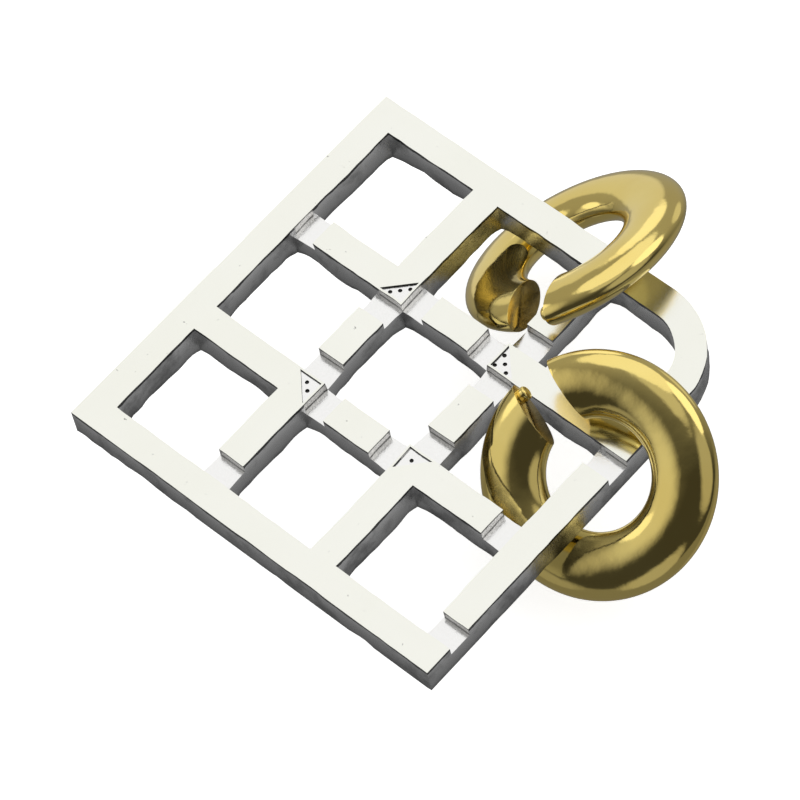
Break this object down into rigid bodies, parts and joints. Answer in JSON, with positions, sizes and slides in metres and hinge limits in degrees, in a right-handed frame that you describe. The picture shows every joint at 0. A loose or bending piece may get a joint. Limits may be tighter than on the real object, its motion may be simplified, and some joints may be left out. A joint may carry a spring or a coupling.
{
  "type": "ring disentanglement puzzle",
  "caption": "Flat square-grid casting with one rounded corner and stepped bars, with split rings threaded on its rails, to be worked free by hand.",
  "frame": {"origin": "middle of the underside of the first inner crossing, one bar in from the sharp corner opposite the rounded one", "axes": "+X and +Y along the bars, towards the rounded corner; +Z out of the marked top of the grid"},
  "size_m": [0.0606, 0.0606, 0.0166],
  "materials": {
    "bright_nickel": "bright nickel plating on a zinc casting: nearly a mirror on top, rougher on the walls",
    "gold_plate": "polished gold-coloured plating"
  },
  "bodies": {
    "frame": {"grid_frame": "bright_nickel"},
    "ring_a_body": {"ring_a": "gold_plate", "ring_a_stud": "gold_plate"},
    "ring_b_body": {"ring_b": "gold_plate", "ring_b_stud": "gold_plate"}
  },
  "joints": [
    {"name": "ring_a_swing", "type": "hinge", "parent": "frame", "child": "ring_a_body", "pos_m": [0.0307, 0.0113, 0.0023], "axis": [1, 0, 0], "range_deg": [0, 65]},
    {"name": "ring_b_swing", "type": "hinge", "parent": "frame", "child": "ring_b_body", "pos_m": [0.0111, 0.0306, 0.0022], "axis": [0, -1, 0], "range_deg": [0, 65]}
  ]
}
